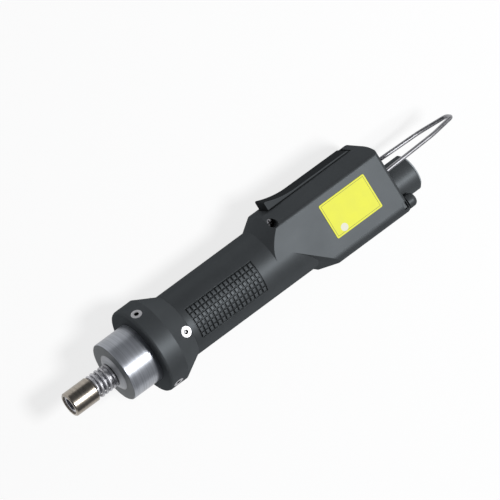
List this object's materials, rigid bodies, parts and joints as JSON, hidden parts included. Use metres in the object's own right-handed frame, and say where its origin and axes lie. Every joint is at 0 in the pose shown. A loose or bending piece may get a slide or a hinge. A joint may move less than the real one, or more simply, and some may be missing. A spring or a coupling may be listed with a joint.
{
  "type": "electric torque screwdriver",
  "caption": "In-line electric screwdriver with quick-change bit sleeve, torque ring, screwed collar, padded round handle, start lever, cable socket and wire hanging bail.",
  "frame": {"origin": "on the tool's axis at the mouth of the bit sleeve", "axes": "+X back along the tool's axis, +Y to the start lever, +Z to the label side"},
  "size_m": [0.2547, 0.0509, 0.0486],
  "materials": {
    "black_plastic": "moulded black plastic, fine spark texture",
    "collar_black": "black anodised metal, satin",
    "polished_steel": "turned and polished steel",
    "dark_chrome": "dark chrome plating",
    "spring_steel": "drawn spring wire, bright",
    "light_alloy": "turned light alloy",
    "bronze": "sintered bronze",
    "gear_steel": "hardened gear steel",
    "screw_steel": "nickel plated screws",
    "magnet": "ferrite magnet",
    "copper": "copper winding and bars",
    "carbon": "carbon brush",
    "label_yellow": "yellow printed film, left bare",
    "board_green": "circuit board laminate",
    "inner_plastic": "black switch and terminal plastic",
    "connector_black": "black coated connector shell",
    "contact_gold": "gold plated contact pins",
    "bail_wire": "bright steel wire"
  },
  "bodies": {
    "root": {"spindle_bushes": "bronze", "clutch_barrel": "light_alloy", "torque_spring": "spring_steel", "clutch_ring_gear": "gear_steel", "fixed_ring_gear": "gear_steel", "gear_case": "light_alloy", "motor_can": "polished_steel", "motor_magnets": "magnet", "motor_brushes": "carbon", "motor_end_cap": "inner_plastic", "motor_bushes": "bronze", "motor_screws": "screw_steel", "collar": "collar_black", "band_screws": "screw_steel", "cone_screws": "screw_steel", "housing_screws": "screw_steel", "rating_label": "label_yellow", "lever_pin": "gear_steel", "lever_spring": "spring_steel", "start_switch": "inner_plastic", "circuit_board": "board_green", "board_parts": "inner_plastic", "reversing_switch": "inner_plastic", "connector_shell": "connector_black", "connector_nut": "light_alloy", "connector_insert": "inner_plastic", "contact_pins": "contact_gold", "label_side_housing": "black_plastic", "far_side_housing": "black_plastic"},
    "rotor": {"motor_shaft": "gear_steel", "rotor_core": "gear_steel", "rotor_windings": "copper", "commutator": "copper", "motor_pinion": "gear_steel"},
    "first_carrier": {"first_carrier": "gear_steel"},
    "first_planet_a": {"first_planet_a": "gear_steel"},
    "first_planet_b": {"first_planet_b": "gear_steel"},
    "first_planet_c": {"first_planet_c": "gear_steel"},
    "spindle": {"spindle": "gear_steel", "spindle_clip": "spring_steel", "sleeve_stop_ring": "spring_steel", "output_carrier": "gear_steel", "sleeve_spring": "spring_steel"},
    "output_planet_a": {"output_planet_a": "gear_steel"},
    "output_planet_b": {"output_planet_b": "gear_steel"},
    "output_planet_c": {"output_planet_c": "gear_steel"},
    "sleeve": {"bit_sleeve": "dark_chrome"},
    "lock_ball": {"lock_ball": "gear_steel"},
    "torque_ring": {"torque_ring": "polished_steel"},
    "thrust_nut": {"thrust_nut": "gear_steel"},
    "clutch_plate": {"clutch_plate": "gear_steel", "clutch_balls": "gear_steel"},
    "start_lever": {"start_lever": "black_plastic"},
    "switch_plunger": {"switch_plunger": "inner_plastic"},
    "reversing_button": {"reversing_button": "black_plastic"},
    "hanging_bail": {"hanging_bail": "bail_wire"}
  },
  "joints": [
    {"name": "rotor_spin", "type": "hinge", "parent": "root", "child": "rotor", "pos_m": [0.1, 0, 0], "axis": [1, 0, 0], "continuous": true},
    {"name": "first_carrier_spin", "type": "hinge", "parent": "root", "child": "first_carrier", "pos_m": [0.0695, 0, 0], "axis": [1, 0, 0], "continuous": true},
    {"name": "first_planet_a_spin", "type": "hinge", "parent": "first_carrier", "child": "first_planet_a", "pos_m": [0.0734, 0, 0.0081], "axis": [1, 0, 0], "continuous": true},
    {"name": "first_planet_b_spin", "type": "hinge", "parent": "first_carrier", "child": "first_planet_b", "pos_m": [0.0734, 0.00701, -0.00405], "axis": [1, 0, 0], "continuous": true},
    {"name": "first_planet_c_spin", "type": "hinge", "parent": "first_carrier", "child": "first_planet_c", "pos_m": [0.0734, -0.00701, -0.00405], "axis": [1, 0, 0], "continuous": true},
    {"name": "spindle_spin", "type": "hinge", "parent": "root", "child": "spindle", "pos_m": [0.03, 0, 0], "axis": [1, 0, 0], "continuous": true},
    {"name": "output_planet_a_spin", "type": "hinge", "parent": "spindle", "child": "output_planet_a", "pos_m": [0.065, 0, 0.0081], "axis": [1, 0, 0], "continuous": true},
    {"name": "output_planet_b_spin", "type": "hinge", "parent": "spindle", "child": "output_planet_b", "pos_m": [0.065, 0.00701, -0.00405], "axis": [1, 0, 0], "continuous": true},
    {"name": "output_planet_c_spin", "type": "hinge", "parent": "spindle", "child": "output_planet_c", "pos_m": [0.065, -0.00701, -0.00405], "axis": [1, 0, 0], "continuous": true},
    {"name": "sleeve_slide", "type": "slide", "parent": "spindle", "child": "sleeve", "axis": [1, 0, 0], "range_m": [0, 0.004], "stiffness_N_per_m": 600, "springref_m": -0.003, "deforming": ["sleeve_spring"]},
    {"name": "lock_ball_lift", "type": "slide", "parent": "spindle", "child": "lock_ball", "axis": [0, 0, 1], "range_m": [0, 0.00055]},
    {"name": "torque_ring_turn", "type": "hinge", "parent": "root", "child": "torque_ring", "pos_m": [0.04, 0, 0], "axis": [1, 0, 0], "range_deg": [0, 1080]},
    {"name": "thrust_nut_slide", "type": "slide", "parent": "root", "child": "thrust_nut", "axis": [1, 0, 0], "range_m": [0, 0.003], "deforming": ["torque_spring"]},
    {"name": "clutch_slip", "type": "slide", "parent": "root", "child": "clutch_plate", "axis": [-1, 0, 0], "range_m": [0, 0.0012], "stiffness_N_per_m": 4000, "springref_m": -0.001, "deforming": ["torque_spring"]},
    {"name": "start_lever_press", "type": "hinge", "parent": "root", "child": "start_lever", "pos_m": [0.1928, 0.0194, 0], "axis": [0, 0, 1], "range_deg": [0, 3.4], "stiffness_Nm_per_rad": 0.15, "springref_deg": -5.73, "deforming": ["lever_spring"]},
    {"name": "switch_plunger_slide", "type": "slide", "parent": "root", "child": "switch_plunger", "axis": [0, -1, 0], "range_m": [0, 0.0017]},
    {"name": "reversing_button_push", "type": "slide", "parent": "root", "child": "reversing_button", "axis": [-1, 0, 0], "range_m": [0, 0.0012], "stiffness_N_per_m": 300, "springref_m": -0.002},
    {"name": "hanging_bail_swing", "type": "hinge", "parent": "root", "child": "hanging_bail", "pos_m": [0.2006, 0.0037, 0], "axis": [0, 0, 1], "range_deg": [-20, 40]}
  ],
  "couplings": [
    {"joint": "first_carrier_spin", "follows": "rotor_spin", "ratio": 0.22222},
    {"joint": "spindle_spin", "follows": "rotor_spin", "ratio": 0.049383},
    {"joint": "first_planet_a_spin", "follows": "rotor_spin", "ratio": -0.62222},
    {"joint": "output_planet_a_spin", "follows": "rotor_spin", "ratio": -0.13827},
    {"joint": "first_planet_b_spin", "follows": "rotor_spin", "ratio": -0.62222},
    {"joint": "output_planet_b_spin", "follows": "rotor_spin", "ratio": -0.13827},
    {"joint": "first_planet_c_spin", "follows": "rotor_spin", "ratio": -0.62222},
    {"joint": "output_planet_c_spin", "follows": "rotor_spin", "ratio": -0.13827},
    {"joint": "lock_ball_lift", "follows": "sleeve_slide", "ratio": 0.1375},
    {"joint": "thrust_nut_slide", "follows": "torque_ring_turn", "m_per_rad": 0.00015915},
    {"joint": "switch_plunger_slide", "follows": "start_lever_press", "m_per_rad": 0.0268}
  ]
}
